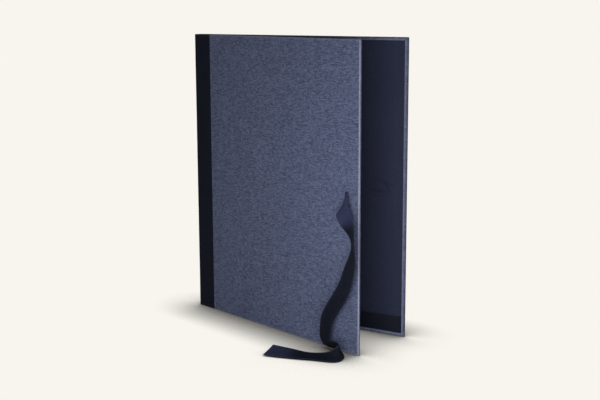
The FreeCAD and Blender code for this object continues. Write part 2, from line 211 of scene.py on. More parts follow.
def settle(thing, thickness, sharp=40):
    """Gives a cloth its thickness on the inner side, and makes that the mesh."""
    wall = thing.modifiers.new("Thickness", "SOLIDIFY")
    wall.thickness, wall.offset, wall.use_even_offset = thickness / 1000, -1, True
    view = bpy.context.evaluated_depsgraph_get()
    solid = bpy.data.meshes.new_from_object(
        thing.evaluated_get(view), preserve_all_data_layers=True, depsgraph=view
    )
    thing.modifiers.clear()
    thing.data = solid
    solid.polygons.foreach_set("use_smooth", np.ones(len(solid.polygons), bool))
    solid.set_sharp_from_angle(angle=math.radians(sharp))
    return thing


def ease(x):
    """0 to 1 with a smooth start and end."""
    x = np.clip(x, 0, 1)
    return x * x * (3 - 2 * x)


def ripple(a, b, height, seed):
    """Slow waves over a sheet: a sum of eight sines in random directions, 25 to 90 mm long."""
    rng = np.random.default_rng(seed)
    total = np.zeros(np.broadcast(a, b).shape)
    for length in np.linspace(25, 90, 8):
        turn, start = rng.uniform(0, 2 * math.pi, 2)
        total += np.sin((a * math.cos(turn) + b * math.sin(turn)) * 2 * math.pi / length + start)
    return total * height / 4


def places(low, high, step, lines=()):
    """Even places from low to high, and the lines wanted instead of the places that crowd them."""
    even = np.linspace(low, high, int(round((high - low) / step)) + 1)
    crowded = [np.abs(even - line) < 0.35 * step for line in lines]
    return np.sort(np.r_[even[~np.any(crowded, 0)] if lines else even, lines])


def quarter(count=5):
    """The angles of a quarter turn."""
    return np.linspace(0, math.pi / 2, count)


# %% [markdown]
# ## The blue canvas on the covers
# On the real folder each cover's canvas is one sheet. It is glued to the outside of the board,
# turned round three of its edges, and its corners are cut at 45 degrees so that the turned-in flaps
# meet in a mitre. One way would be to fold a flat grid, but its corners would overlap. Here a
# profile runs from the outer face round the board's edge to the inner flap, and it is carried
# along the cover's outline. Each point of the profile has a depth from the edge, and the outline
# shrinks by that depth, which makes the mitre by itself. A second grid fills the outer face.

# %% The canvas round the boards
RIM = 12.0  # the part of the outer face that belongs to the profile


def edge_profile(bend=0.75, flap=14.8):
    """Depth from the edge, level and how far past the edge on the flat cloth: a line, two turns, a line."""
    turn = quarter()
    depth = np.concatenate(
        [[RIM, 8, 5, 3, 1.9, 1.2], bend * (1 - np.sin(turn)), bend * (1 - np.cos(turn)), [1.4, 2.5, 4, 7, 11, flap]]
    )
    level = np.concatenate(
        [np.full(6, OUTSIDE), OUTSIDE - bend * (1 - np.cos(turn)), TURNED_IN + bend * (1 - np.sin(turn)), np.full(6, TURNED_IN)]
    )
    run = np.cumsum(np.hypot(np.diff(depth, prepend=RIM), np.diff(level, prepend=OUTSIDE)))
    return depth, level, run - RIM


def outline(depth, alongs, ups):
    """The cover's outline shrunk by a depth: along the tail, round the fore-edge and back along the head."""
    r = max(1.0 - depth, 0.02)
    end, low, high = FORE_EDGE - depth, depth, COVER_HEIGHT - depth
    tail = CLOTH_JOIN + (alongs - alongs[0]) / np.ptp(alongs) * (end - r - CLOTH_JOIN)
    climb = low + r + (ups - ups[0]) / np.ptp(ups) * (high - low - 2 * r)
    turn = quarter()[1:-1]
    along = [tail, end - r + r * np.sin(turn), np.full(len(climb), end), end - r + r * np.cos(turn), tail[::-1]]
    up = [np.full(len(tail), low), low + r - r * np.cos(turn), climb, high - r + r * np.sin(turn), np.full(len(tail), high)]
    return np.concatenate(along), np.concatenate(up)


def on_flat_cloth(along, up, past, tail_count, climb_count):
    """Each rim point's place on the flat cloth: past the edge that it was folded over."""
    turn = np.array([0.25, 0.5, 0.75])
    fore = np.concatenate([np.zeros(tail_count), turn, np.ones(climb_count), turn[::-1], np.zeros(tail_count)])
    edge = np.where(up < COVER_HEIGHT / 2, -past[:, None], COVER_HEIGHT + past[:, None])
    flat_a = along + (FORE_EDGE + past[:, None] - along) * fore
    return np.stack([flat_a, up * fore + edge * (1 - fore)], -1)


def canvas_level(along, up, side):
    """Extra height of the canvas: slow ripples, a raised cut edge at the black cloth and a dip at the slit."""
    raised = 0.1 * ease(1 - (along - CLOTH_JOIN) / 2.5)
    dip = 0.3 * np.exp(-(((along - SLIT_ALONG) / 5) ** 2) - ((up - SLIT_UP) / 13) ** 2)
    return ripple(along, up, 0.07, 3 + side) + raised - dip


def wrap_canvas(side):
    """The canvas of one cover: the profile carried along the outline, and a grid with the ribbon's slit."""
    alongs = places(CLOTH_JOIN, FORE_EDGE - RIM, 5.5, [SLIT_ALONG - 0.5, SLIT_ALONG + 0.5])
    ups = places(RIM, COVER_HEIGHT - RIM, 6.0, [SLIT_UP - 8.5, SLIT_UP + 8.5])
    depth, level, past = edge_profile()
    along, up = (np.stack(r) for r in zip(*(outline(d, alongs, ups) for d in depth)))
    outer = (level > 0) * ease(depth / 6)
    out = level[:, None] + outer[:, None] * canvas_level(along, up, side)
    rim = on_cover(side, along, out, up)
    rim_flat = on_flat_cloth(along, up, past, len(alongs), len(ups))
    # the cut edges are paler from wear, most at the fore-edge, where the pale line is also a painted highlight of the
    # lamp on the edge; the band on the turned-in margin is a painted highlight
    rubbing_and_painted_light = np.exp(-((past + 0.3) ** 2) / 0.6)[:, None] * (0.35 + 0.65 * ease(along - FORE_EDGE + 4))
    wear_and_painted_light = rubbing_and_painted_light + (0.4 * ease((past - 3) / 1.5) * ease((9 - past) / 1.5))[:, None]
    face_a, face_b = np.meshgrid(alongs, ups, indexing="ij")
    face = on_cover(side, face_a, OUTSIDE + canvas_level(face_a, face_b, side), face_b)
    inner = grid_faces(face_a.shape, first=along.size).reshape(len(alongs) - 1, len(ups) - 1, 4)
    slit = np.abs((alongs[1:] + alongs[:-1]) / 2 - SLIT_ALONG)[:, None] < 0.4
    slit = slit & (np.abs((ups[1:] + ups[:-1]) / 2 - SLIT_UP) < 8)
    faces = np.concatenate([grid_faces(along.shape), inner[~slit]])
    points = np.concatenate([rim.reshape(-1, 3), face.reshape(-1, 3)])
    flat = np.concatenate([rim_flat.reshape(-1, 2), np.stack([face_a, face_b], -1).reshape(-1, 2)])
    wear_and_painted_light = np.concatenate([wear_and_painted_light.ravel(), np.zeros(face_a.size)])
    cloth = cloth_mesh(f"{WORD[side]}_canvas_cloth", points, faces, flat, outwards(side), wear_and_painted_light)
    print(cloth.name, "slit faces left out:", int(slit.sum()))
    return settle(cloth, 0.38)


for side in (FRONT, BACK):
    cloth = wrap_canvas(side)
    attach(cloth, f"{WORD[side]}_cover")
    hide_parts(f"{WORD[side]}_canvas")
    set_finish(cloth, "blue_canvas")

# %% [markdown]
# ## The black bookcloth over the spine
# One strip of bookcloth covers the spine and laps onto both covers. It bends only in the gaps
# between the boards. It is made in three pieces with the same profile where they meet, one for the
# flat of the spine and one for each joint with its cover, because a cloth here can bend between two
# bodies only. Seen from above, the strip follows a path: along the spine, round the corner and along
# the cover. The second parameter runs up the outer face, over the head and down inside, and the
# cloth is as thick there as what it goes round: a board, or in the joint only itself.

# %% The bookcloth's path in plan, and its folded head and tail
SPINE_FLAT = 3.6  # the flat of the spine that rides with the spine, each side of its middle


def plan_path(side_part):
    """Along the strip: x, y, the inward direction and the thickness it goes round. Lines and an arc."""
    if not side_part:
        y = np.linspace(-SPINE_FLAT, SPINE_FLAT, 5)
        o = np.zeros(5)
        return np.stack([o, y, o + 1, o, o + 2.8]), y
    y = np.array([SPINE_FLAT, 4.1, 4.4, 4.65, 4.8])
    spine = np.stack([y * 0, y, y * 0 + 1, y * 0, y * 0 + 2.8])
    turn = np.radians(np.linspace(180, 90 + math.degrees(HALF_OPEN), 8)[1:])
    away = np.stack([np.cos(turn), np.sin(turn)])
    bend = np.stack([CORNER + CORNER * away[0], HALF_SPINE - CORNER + CORNER * away[1], -away[0], -away[1], turn * 0 + 0.85])
    u = np.array([1.0, 2, 3, 4, 4.9, 5.2, 5.5, 6.5, 9, 13, 18, 23, CLOTH_JOIN - 0.05])
    c, s = math.cos(HALF_OPEN), math.sin(HALF_OPEN)
    lap = [CORNER + u * c - OUTSIDE * s, HALF_SPINE - CORNER + u * s + OUTSIDE * c]
    lap = np.stack([*lap, u * 0 + s, u * 0 - c, np.interp(u, [4.9, 5.5], [0.85, 2.8])])
    path = np.concatenate([spine, bend, lap], 1)
    run = np.cumsum(np.hypot(np.diff(path[0], prepend=path[0, 0]), np.diff(path[1], prepend=path[1, 0])))
    return path, SPINE_FLAT + run


def folded_strip(name, side, side_part, flap=15.0, bend=0.75):
    """The strip: inner flap, tail, outer face, head and inner flap, each depth a share of the thickness."""
    (x, y, in_x, in_y, thick), across = plan_path(side_part)
    r = np.minimum(bend, thick / 2)
    turn = quarter()
    inner = np.array([flap, 11, 7, 4, 2])
    # the tail half of the profile: depth as shares of the thickness and of the bend, then height
    share_t = np.concatenate([np.ones(5), np.ones(5), np.zeros(5)])
    share_r = np.concatenate([np.zeros(5), np.cos(turn) - 1, 1 - np.sin(turn)])
    height = np.concatenate([inner, np.zeros(10)])
    height_r = np.concatenate([np.zeros(5), 1 - np.sin(turn), 1 - np.cos(turn)])
    tail_d = share_t[:, None] * thick + share_r[:, None] * r
    tail_z = height[:, None] + height_r[:, None] * r
    up = np.linspace(4, COVER_HEIGHT - 4, 40)[:, None] * np.ones_like(thick)
    depth = np.concatenate([tail_d, up * 0, tail_d[::-1]])
    height = np.concatenate([tail_z, up, COVER_HEIGHT - tail_z[::-1]])
    waves = ripple(across[None, :] * np.ones_like(height), height, 0.04, 8) * (depth < 0.01)
    depth = depth - waves * ease(height / 8) * ease((COVER_HEIGHT - height) / 8)
    points = from_spine(side, x + in_x * depth, y + in_y * depth, height)
    run = np.cumsum(np.linalg.norm(np.diff(points, axis=0, prepend=points[:1]), axis=-1), 0) * 1000
    run = run - run[20] + height[20]
    flat = np.stack([np.broadcast_to(side * across, run.shape), run], -1)
    wear_and_painted_light = np.exp(-((depth - 0.3) ** 2) / 0.5) * (np.minimum(height, COVER_HEIGHT - height) < 2)
    outward = outwards(side) if side_part else np.array([-1.0, 0, 0])
    return settle(one_grid(name, points, flat, outward, wear_and_painted_light), 0.38)


spine_cloth = folded_strip("spine_bookcloth", 1, False)
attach(spine_cloth, "spine")
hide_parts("spine_cloth")
bookcloths = [spine_cloth]
for side in (FRONT, BACK):
    strip = folded_strip(f"{WORD[side]}_bookcloth", side, True)
    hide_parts(f"{WORD[side]}_spine_cloth", f"{WORD[side]}_outer_joint")
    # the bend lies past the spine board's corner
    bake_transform(strip)
    bookcloths.append(strip)
for strip in bookcloths:
    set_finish(strip, "black_bookcloth")

# %% [markdown]
# ## The inner hinge cloth
# Inside, a second strip of the same cloth covers the joints and hides where the outer cloth was
# turned in. Glued in with the covers open, it sinks a little into each joint when they close. The
# path is again a line, a curve and a line. The curve is a Bezier arc whose middle is pressed in.


# %% The inner hinge cloth and the linings
def inner_path(side):
    """Along the inner strip from the spine's flat to the cover, as x and y. A line, a Bezier arc, a line."""
    c, s = math.cos(HALF_OPEN), math.sin(HALF_OPEN)
    spine_x = 3.05
    start = np.array([spine_x, 4.5])
    end = np.array([CORNER + 6.2 * c - INSIDE * s, HALF_SPINE - CORNER + 6.2 * s + INSIDE * c])
    dip_a, dip_b = start + [-0.1, 1.3], end - 2.6 * np.array([c, s]) + [0, 0.5]
    w = np.linspace(0, 1, 12)[:, None]
    curve = (1 - w) ** 3 * start + 3 * (1 - w) ** 2 * w * dip_a + 3 * (1 - w) * w**2 * dip_b + w**3 * end
    u = np.array([7.0, 8.5, 11, 14, 17, 19, STRIP_EDGE])
    lap = np.stack([CORNER + u * c - INSIDE * s, HALF_SPINE - CORNER + u * s + INSIDE * c], -1)
    path = np.concatenate([[[spine_x, SPINE_FLAT], [spine_x, 4.1]], curve, lap])
    return path[:, 0], path[:, 1]


def inner_strip(name, side, side_part):
    """The inner cloth between head and tail, from its path in plan and a height."""
    x, y = inner_path(side) if side_part else (np.full(5, 3.05), np.linspace(-SPINE_FLAT, SPINE_FLAT, 5))
    up = np.concatenate([[3.5, 4, 6, 10], np.linspace(16, 304, 40), [310, 314, 316, 316.5]])[:, None]
    step = 0.1 * ease(np.minimum(up - 14, 306 - up) / 3) if side_part else 0
    across = SPINE_FLAT + np.cumsum(np.hypot(np.diff(x, prepend=x[0]), np.diff(y, prepend=y[0])))
    across = across if side_part else y
    points = from_spine(side, x + up * 0, y + up * 0 + step * ease((across - 9) / 3), up + x * 0)
    flat = np.stack(np.broadcast_arrays(side * across, up), -1)
    inward = -outwards(side) if side_part else np.array([1.0, 0, 0])
    return settle(one_grid(name, points, flat, inward), 0.22)


inner = inner_strip("spine_inner_cloth", 1, False)
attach(inner, "spine")
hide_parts("spine_lining")
hinge_cloths = [inner]
for side in (FRONT, BACK):
    strip = inner_strip(f"{WORD[side]}_inner_cloth", side, True)
    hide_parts(f"{WORD[side]}_hinge_strip", f"{WORD[side]}_inner_joint")
    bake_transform(strip)
    hinge_cloths.append(strip)
for strip in hinge_cloths:
    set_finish(strip, "black_bookcloth")


CREASES = [((226, 171), (252, 163.5)), ((220, 158.5), (246, 156.5)), ((238, 168), (248, 156))]


def crease(along, up, start, end, width=1.5):
    """A ridge beside a short line: a bell curve of the distance from it, which fades towards both ends."""
    (a, b), (run, rise) = start, np.subtract(end, start)
    share = np.clip(((along - a) * run + (up - b) * rise) / (run**2 + rise**2), 0, 1)
    far = np.hypot(along - a - share * run, up - b - share * rise)
    return np.exp(-((far / width) ** 2)) * 4 * share * (1 - share)


def bump_of_ribbon(along, up):
    """Height over the ribbon's glued end, a soft step round it plus the sheet's creases, and the creases alone, for
    their painted shade.
    """
    inside = np.minimum(np.minimum(along - 216, 246.5 - along), np.minimum(up - 152, 168 - up))
    ridges = sum(crease(along, up, *line) for line in CREASES)
    return 0.30 * ease(inside / 1.8 + 0.5) + 0.35 * ridges, np.clip(ridges, 0, 1)


def lining_sheet(side):
    """A flat sheet that dips between the turn-ins and rises over the ribbon's glued end, with painted shade in its
    creases.
    """
    alongs = np.r_[places(STRIP_EDGE, 212, 4.5), np.arange(212.6, 249, 0.6), 250, 253, 256.5, LINING_EDGE]
    ups = np.r_[places(3.5, 148, 4.5), np.arange(148.6, 171.6, 0.6), places(172, COVER_HEIGHT - 3.5, 4.5)]
    a, b = np.meshgrid(alongs, ups, indexing="ij")
    hollow = np.minimum(np.minimum(249 - a, b - 15), COVER_HEIGHT - 15 - b)
    bump, painted_crease_shade = bump_of_ribbon(a, b)
    points = on_cover(side, a, INSIDE + 0.12 * ease(hollow / 3) - bump + ripple(a, b, 0.05, 20 + side), b)
    return settle(one_grid(f"{WORD[side]}_lining_sheet", points, np.stack([a, b], -1), -outwards(side), painted_crease_shade), 0.2)


for side in (FRONT, BACK):
    sheet = lining_sheet(side)
    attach(sheet, f"{WORD[side]}_cover")
    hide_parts(f"{WORD[side]}_lining")
    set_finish(sheet, "navy_lining")
    print(sheet.name, "faces:", len(sheet.data.polygons))

# %% [markdown]
# ## The bottom pocket
# A low strip of black cloth runs along the bottom of the back cover's inside and keeps loose sheets
# from sliding out. It is glued along its foot, leans out a little, and its top is folded over into
# a hem. The profile of foot, lean, rise and hem is carried along the cover, and it sinks to the
# lining at both ends, where the real strip is tucked under and glued.


# %% The pocket's profile carried along the cover
def pocket_strip(side):
    """Height and stand-off of the strip's profile, times how far it stands off at each place along."""
    along = np.concatenate([np.linspace(STRIP_EDGE + 0.2, 34, 6), places(40, 242, 6), np.linspace(248, LINING_EDGE - 0.2, 6)])
    stands = ease((along - STRIP_EDGE) / 12) * ease((LINING_EDGE - along) / 12)
    turn = np.linspace(0, math.pi, 7)[1:-1]
    height = np.concatenate([[4, 5.5, 7, 8, 9.5, 11, 14, 17, 20], 21.6 + 0.4 * np.sin(turn), [20, 18.5, 17]])
    off = np.concatenate([[0, 0, 0.05, 0.4, 1.2, 1.7, 1.8, 1.8, 1.8], 1.45 + 0.35 * np.cos(turn), [1.1, 1.1, 1.1]])
    own = np.concatenate([np.zeros(9), np.linspace(0, -0.25, 5), [-0.3, -0.3, -0.3]])
    wave = 1 + ripple(along, 0 * along, 0.12, 5)
    a, z = np.broadcast_arrays(along, height[:, None])
    out = INSIDE - 0.42 - off[:, None] * stands * wave - own[:, None] * (1 - stands)
    sag = ripple(along, 0 * along, 0.25, 6) * ease((z - 12) / 8)
    flat = np.stack([a, z + (np.arange(len(height)) > 11)[:, None] * (2 * (22 - z))], -1)
    rubbing_and_painted_light = 0.45 + 0.3 * np.exp(-((z - 22) ** 2) / 1.5)
    points = on_cover(side, a, out, z + sag)
    return settle(one_grid("bottom_pocket_cloth", points, flat, -outwards(side), rubbing_and_painted_light), 0.35)


pocket = pocket_strip(BACK)
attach(pocket, "back_cover")
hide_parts("bottom_pocket")
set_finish(pocket, "black_bookcloth")

# %% [markdown]
# ## The tie ribbon
# The free ribbon is a limp strip 16 mm wide. It comes out of its slit upright, folds over on a
# slant, hangs with one slow twist, turns back on itself at the table and ends in a cut tail. Its
# middle line is a smooth curve through a list of points, and a second curve carries the direction
# of its width. Sweeping a profile would turn the strip by a rule of its own, so instead each point
# of a grid is the middle line plus a share of the width, which also lets the folds slant.

# %% The ribbon's middle line and its width
RIBBON_ROUTE = [  # along, out and up on the front cover, then the direction of the width
    ((246.0, 1.2, 160.0), (0.00, 0.00, 1.00)),
    ((246.2, 3.5, 159.8), (0.00, 0.00, 1.00)),
    ((246.8, 6.5, 158.0), (0.22, -0.10, 0.97)),
    ((247.5, 9.5, 154.5), (0.50, -0.35, 0.79)),
    ((250.5, 11.5, 149.5), (0.62, -0.40, 0.67)),
    ((255.0, 12.5, 143.5), (0.80, -0.35, 0.48)),
    ((260.0, 12.8, 135.5), (0.95, 0.00, 0.28)),
    ((264.5, 12.5, 126.5), (0.88, 0.45, 0.15)),
    ((266.5, 12.5, 116.5), (0.76, 0.64, 0.05)),
    ((265.5, 12.5, 105.0), (0.93, 0.35, 0.00)),
    ((261.5, 12.5, 92.0), (0.99, 0.10, 0.00)),
    ((257.5, 13.0, 77.5), (0.98, -0.10, -0.10)),
    ((250.0, 13.5, 62.5), (0.92, -0.25, -0.28)),
    ((238.0, 13.0, 47.5), (0.86, -0.25, -0.42)),
    ((229.0, 12.5, 33.5), (0.93, -0.15, -0.30)),
    ((225.8, 11.0, 21.5), (0.98, -0.10, -0.04)),
    ((224.4, 10.4, 12.0), (0.98, 0.02, 0.06)),
    ((225.8, 10.0, 7.6), (0.88, 0.30, 0.36)),
    ((233.5, 10.8, 7.4), (0.50, 0.60, 0.62)),
    ((244.5, 13.0, 8.6), (0.18, 0.62, 0.76)),
    ((254.4, 16.0, 8.4), (-0.06, 0.50, 0.82)),
    ((259.8, 22.0, 6.9), (-0.30, 0.14, 0.80)),
    ((258.6, 29.2, 4.7), (-0.54, -0.44, 0.50)),
    ((249.0, 33.6, 2.7), (-0.52, -0.80, 0.24)),
    ((238.0, 39.0, 1.9), (-0.57, -0.82, 0.12)),
    ((224.0, 48.5, 2.6), (-0.55, -0.80, 0.18)),
    ((209.0, 58.0, 4.4), (-0.53, -0.74, 0.42)),
    ((196.5, 64.5, 4.8), (-0.53, -0.72, 0.46)),
]


def smooth_line(name, points, steps=10):
    """Points read from a quadratic NURBS spline that starts and ends on the first and last point."""
    data = bpy.data.curves.new(name, "CURVE")
    data.dimensions = "3D"
    line = data.splines.new("NURBS")
    line.points.add(len(points) - 1)
    line.points.foreach_set("co", np.c_[points, np.ones(len(points))].astype(np.float32).ravel())
    line.order_u, line.use_endpoint_u, line.resolution_u = 3, True, steps
    holder = bpy.data.objects.new(name, data)
    bpy.context.scene.collection.objects.link(holder)
    view = bpy.context.evaluated_depsgraph_get()
    drawn = bpy.data.meshes.new_from_object(holder.evaluated_get(view))
    found = np.zeros(len(drawn.vertices) * 3, np.float32)
    drawn.vertices.foreach_get("co", found)
    bpy.data.objects.remove(holder)
    return found.reshape(-1, 3).astype(float)


def unit(v):
    return v / np.linalg.norm(v, axis=-1, keepdims=True)


route = np.array([p for p, _ in RIBBON_ROUTE])
widths = unit(np.array([w for _, w in RIBBON_ROUTE]))
middle = smooth_line("Ribbon line", on_cover(FRONT, *route.T))
turned = on_cover(FRONT, *widths.T) - on_cover(FRONT, 0, 0, 0)
across_way = unit(smooth_line("Ribbon width", turned * 1000))
ribbon_run = np.concatenate([[0], np.cumsum(np.linalg.norm(np.diff(middle, axis=0), axis=1))])
print("ribbon length, mm:", (ribbon_run[-1] * 1000).round(1), "points:", len(middle))


def on_table(height, least=0.0005, soft=0.0008):
    """Heights kept above a least one by a smooth bend: half of h plus the root of h squared and a little."""
    h = height - least
    return least + (h + np.sqrt(h * h + soft * soft)) / 2


def ribbon_surface(width=0.016, cup=0.00035, cut=0.008, columns=13):
    """Middle line plus a share of the slanted width, cupped; a painted highlight on the fold and the tail, and paler
    towards both edges.
    """
    travel = unit(np.gradient(middle, axis=0))
    travel[0] = outwards(FRONT)
    slant = np.clip((across_way * travel).sum(-1), -0.7, 0.7)
    half = across_way * (width / 2 / np.sqrt(1 - slant**2))[:, None]
    facing = unit(np.cross(travel, across_way))
    share = np.linspace(-1, 1, columns)
    run = ribbon_run[:, None] - share * cut / 2 * ease((ribbon_run[:, None] - ribbon_run[-1] + 0.04) / 0.04)
    run[-1] = ribbon_run[-1] - share * cut / 2
    at = np.clip(run, 0, None)

    def along(values):
        """Values at each run, carried straight on past the end."""
        last = (values[-1] - values[-2]) / (ribbon_run[-1] - ribbon_run[-2])
        inside = np.stack([np.interp(at, ribbon_run, v) for v in values.T], -1)
        return inside + np.maximum(at - ribbon_run[-1], 0)[..., None] * last

    grow = ease(ribbon_run / 0.03)[:, None, None]
    curl = (1 - share**2)[None, :, None] * cup * grow
    flutter = np.sin(ribbon_run * 210)[:, None, None] * (share**3)[None, :, None] * 0.00025 * grow
    points = along(middle) + along(half) * share[None, :, None] + along(facing) * (curl + flutter)
    points[..., 2] = on_table(points[..., 2])
    flat = np.stack([at, np.broadcast_to(share * width / 2, at.shape)], -1) * 1000
    # painted highlight: paler on the first fold and the cut tail, standing for the light that falls there
    painted_fold_tail_highlight = 1 - ease((at - 0.022) / 0.016) + 0.6 * ease((at - ribbon_run[-1] + 0.034) / 0.02)
    return points, flat, np.clip(painted_fold_tail_highlight + 0.5 * np.abs(share) ** 8, 0, 1)


points, flat, wear_and_painted_light = ribbon_surface()
ribbon = settle(one_grid("front_tie_ribbon", points, flat, np.array([0, -1.0, 0]), wear_and_painted_light), 0.42, sharp=60)
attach(ribbon, "front_cover")
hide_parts("front_ribbon")
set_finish(ribbon, "navy_ribbon")
low = min(v.co.z for v in ribbon.data.vertices)
print("ribbon's lowest point, mm:", round(low * 1000, 2))

# %% [markdown]
# ## Threads
# Every cloth here is a plain weave, only finer or coarser, so one node group draws the threads for
# all of them. Warp and weft are sine ridges that take turns on top. Each thread also has its own
# tone, which drifts along its length, because spun yarn is never even. The weft varies more than the
# warp, so the cloth shows faint level rows. The group gives a height for the bump and a tone for the
# colour.


# %% Helpers for nodes, and the weave
def add(tree, kind, values=None, **settings):
    """Adds a node, sets its options, and fills its inputs with values or with other nodes' outputs."""
    node = tree.nodes.new(kind)
    for key, setting in settings.items():
        setattr(node, key, setting)
    for key, value in (values or {}).items():
        if isinstance(value, bpy.types.NodeSocket):
            tree.links.new(value, node.inputs[key])
        else:
            node.inputs[key].default_value = value
    return node


def sums(tree, operation, a, b=0.0, c=0.0):
    """One Math node's result."""
    return add(tree, "ShaderNodeMath", {0: a, 1: b, 2: c}, operation=operation).outputs[0]


def new_group(name, inputs, outputs):
    """An empty node group with those sockets: (name, type, default) for inputs, (name, type) for outputs."""
    tree = bpy.data.node_groups.new(name, "ShaderNodeTree")
    for label, kind, default in inputs:
        socket = tree.interface.new_socket(label, in_out="INPUT", socket_type=kind)
        if default is not None:
            socket.default_value = default
    for label, kind in outputs:
        tree.interface.new_socket(label, in_out="OUTPUT", socket_type=kind)
    return tree, tree.nodes.new("NodeGroupInput"), tree.nodes.new("NodeGroupOutput")


def weave_group():
    """Height is the higher of two ridges, |sin a|(1 + sin b sign sin a)/2 and the same with a and b swapped."""
    tree, given, result = new_group(
        "Plain weave",
        [("Cloth", "NodeSocketVector", None), ("Pitch mm", "NodeSocketFloat", 0.8), ("Drift", "NodeSocketFloat", 0.1)],
        [("Height", "NodeSocketFloat"), ("Tone", "NodeSocketFloat"), ("Warp", "NodeSocketFloat")],
    )
    scale = sums(tree, "DIVIDE", 1000.0, given.outputs["Pitch mm"])
    spread = add(tree, "ShaderNodeVectorMath", {0: given.outputs["Cloth"], "Scale": scale}, operation="SCALE")
    split = add(tree, "ShaderNodeSeparateXYZ", {0: spread.outputs[0]})
    a, b = split.outputs[0], split.outputs[1]
    sin_a, sin_b = (sums(tree, "SINE", sums(tree, "MULTIPLY", v, math.pi)) for v in (a, b))
    sign_a, sign_b = sums(tree, "SIGN", sin_a), sums(tree, "SIGN", sin_b)
    over = sums(tree, "MULTIPLY_ADD", sums(tree, "MULTIPLY", sin_b, sign_a), 0.5, 0.5)
    under = sums(tree, "MULTIPLY_ADD", sums(tree, "MULTIPLY", sin_a, sign_b), -0.5, 0.5)
    warp = sums(tree, "MULTIPLY", sums(tree, "ABSOLUTE", sin_a), over)
    weft = sums(tree, "MULTIPLY", sums(tree, "ABSOLUTE", sin_b), under)
    on_top = sums(tree, "GREATER_THAN", warp, weft)
    tones = []
    for thread, length, offset in ((a, b, 3.7), (b, a, 41.3)):
        number = sums(tree, "MULTIPLY_ADD", sums(tree, "FLOOR", thread), 1.37, offset)
        place = add(tree, "ShaderNodeCombineXYZ", {0: number, 1: sums(tree, "MULTIPLY", length, given.outputs["Drift"]), 2: offset})
        noise = add(tree, "ShaderNodeTexNoise", {"Vector": place.outputs[0], "Scale": 1.0, "Detail": 2.0, "Roughness": 0.6})
        tones.append(noise.outputs[0])
    even = sums(tree, "MULTIPLY_ADD", sums(tree, "SUBTRACT", tones[0], 0.5), 0.4, 0.5)
    tone = add(tree, "ShaderNodeMix", {0: on_top, 2: tones[1], 3: even})
    tree.links.new(sums(tree, "MAXIMUM", warp, weft), result.inputs["Height"])
    tree.links.new(tone.outputs[0], result.inputs["Tone"])
    tree.links.new(on_top, result.inputs["Warp"])
    return tree


weave = weave_group()

# %% [markdown]
# ## Wear and painted light
# Cloth on a folder's edges rubs pale. The meshes carry an `edge` attribute, 0 to 1, and this group
# breaks it up with noise and mixes a second colour in. On the bookcloth that is wear; on the canvas it
# is edge wear plus a painted highlight at the fore-edge and the turned-in margin; on the ribbon's fold
# and tail it is a painted highlight; in the lining's creases it is painted shade. It also adds a
# slow unevenness of dye, so that no surface is one flat colour.


# %% The wear and painted light group
def wear_and_light_group():
    """Colour mixed towards a second one by edge times noise, for wear, painted highlight and painted shade by piece,
    and brightened or darkened by a slow noise.
    """
    tree, given, result = new_group(
        "Rubbed edges and painted light",
        [("Color", "NodeSocketColor", None), ("Pale", "NodeSocketColor", None), ("Amount", "NodeSocketFloat", 0.5), ("Uneven", "NodeSocketFloat", 0.1)],
        [("Color", "NodeSocketColor")],
    )
    edge = add(tree, "ShaderNodeAttribute", attribute_name="edge")
    place = add(tree, "ShaderNodeTexCoord")
    fine = add(tree, "ShaderNodeTexNoise", {"Vector": place.outputs["Object"], "Scale": 900.0, "Detail": 3.0})
    slow = add(tree, "ShaderNodeTexNoise", {"Vector": place.outputs["Object"], "Scale": 28.0, "Detail": 3.0})
    rubbing_and_painted_light = sums(tree, "MULTIPLY", edge.outputs["Fac"], sums(tree, "MULTIPLY", fine.outputs[0], 1.6))
    rubbing_and_painted_light = add(tree, "ShaderNodeMath", {0: rubbing_and_painted_light, 1: given.outputs["Amount"]}, operation="MULTIPLY", use_clamp=True)
    pale = add(tree, "ShaderNodeMix", {0: rubbing_and_painted_light.outputs[0], 6: given.outputs["Color"], 7: given.outputs["Pale"]}, data_type="RGBA")
    shift = sums(tree, "MULTIPLY_ADD", sums(tree, "SUBTRACT", slow.outputs[0], 0.5), given.outputs["Uneven"], 1.0)
    shade = add(tree, "ShaderNodeVectorMath", {0: pale.outputs[2], "Scale": shift}, operation="SCALE")
    tree.links.new(shade.outputs[0], result.inputs["Color"])
    return tree


wear_and_light_nodes = wear_and_light_group()

# %% [markdown]
# ## The finishes
# Each cloth is one Principled BSDF. Its colour mixes a dark and a light yarn by the weave's tone,
# and its bump comes from the threads' height. Sheen gives cloth the soft bright edge that stray
# fibres make, and it is set on the shader itself, because an exported model keeps it only there.
# The lining is paper and the boards are pulp, so those two show fibres in place of threads.


# %% Make and give out the finishes
def colour(r, g, b):
    """A colour seen on screen, 0 to 255, as the linear values that a shader reads."""
    c = np.array([r, g, b]) / 255
    return (*np.where(c <= 0.04045, c / 12.92, ((c + 0.055) / 1.055) ** 2.4), 1.0)


def place_on_cloth(tree, stretch, solid):
    """A point's place on the flat cloth: its UV map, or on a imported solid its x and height."""
    if solid:
        here = add(tree, "ShaderNodeTexCoord").outputs["Object"]
        turned = (-math.pi / 2, 0, 0)  # brings the height to the second place
        return add(tree, "ShaderNodeMapping", {"Vector": here, "Rotation": turned, "Scale": (*stretch, 1)}).outputs[0]
    here = add(tree, "ShaderNodeUVMap", uv_map="Cloth").outputs[0]
    return add(tree, "ShaderNodeVectorMath", {0: here, 1: (*stretch, 1)}, operation="MULTIPLY").outputs[0]


